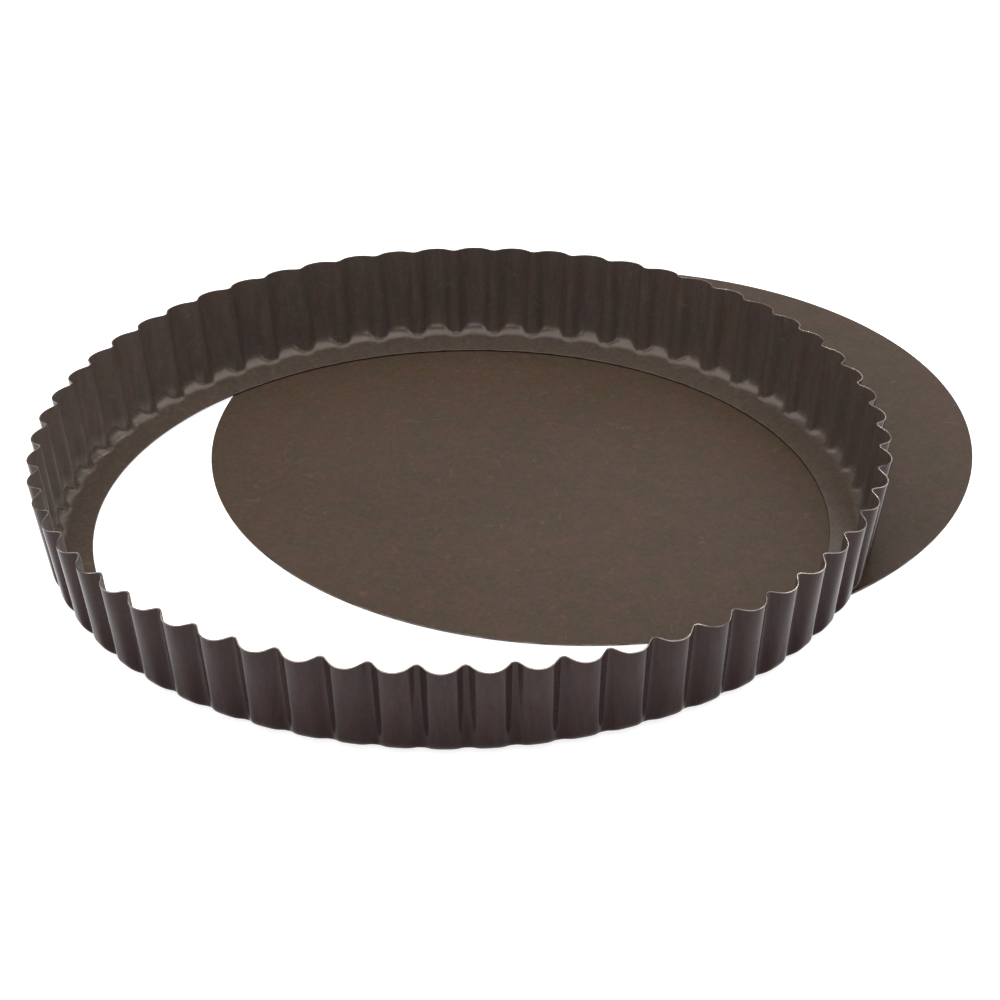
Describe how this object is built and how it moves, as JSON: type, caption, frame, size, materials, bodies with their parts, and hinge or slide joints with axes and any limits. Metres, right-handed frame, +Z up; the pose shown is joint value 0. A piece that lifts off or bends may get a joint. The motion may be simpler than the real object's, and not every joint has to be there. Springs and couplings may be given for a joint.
{
  "type": "fluted tart pan",
  "caption": "Round tart pan: a flared, fluted ring of coated sheet steel with a narrow inward ledge, standing on its flat loose base, which slides out from under it.",
  "frame": {"origin": "on the ring's axis, at the underside of the base, which is the surface that the pan stands on", "axes": "+Z up along the ring's axis, +X the way the base is pushed out from under the ring"},
  "size_m": [0.3407, 0.28, 0.0339],
  "materials": {
    "ring_coating": "semi-gloss dark brown non-stick coating on pressed steel, bare metal on the cut rim",
    "base_coating": "satin taupe brown non-stick coating on flat steel, bare metal on the cut edge"
  },
  "bodies": {
    "ring": {"fluted_ring": "ring_coating"},
    "base": {"loose_base": "base_coating"}
  },
  "joints": [
    {"name": "base_slide", "type": "slide", "parent": "ring", "child": "base", "axis": [1, 0, 0], "range_m": [-0.07055, 0.205]}
  ]
}
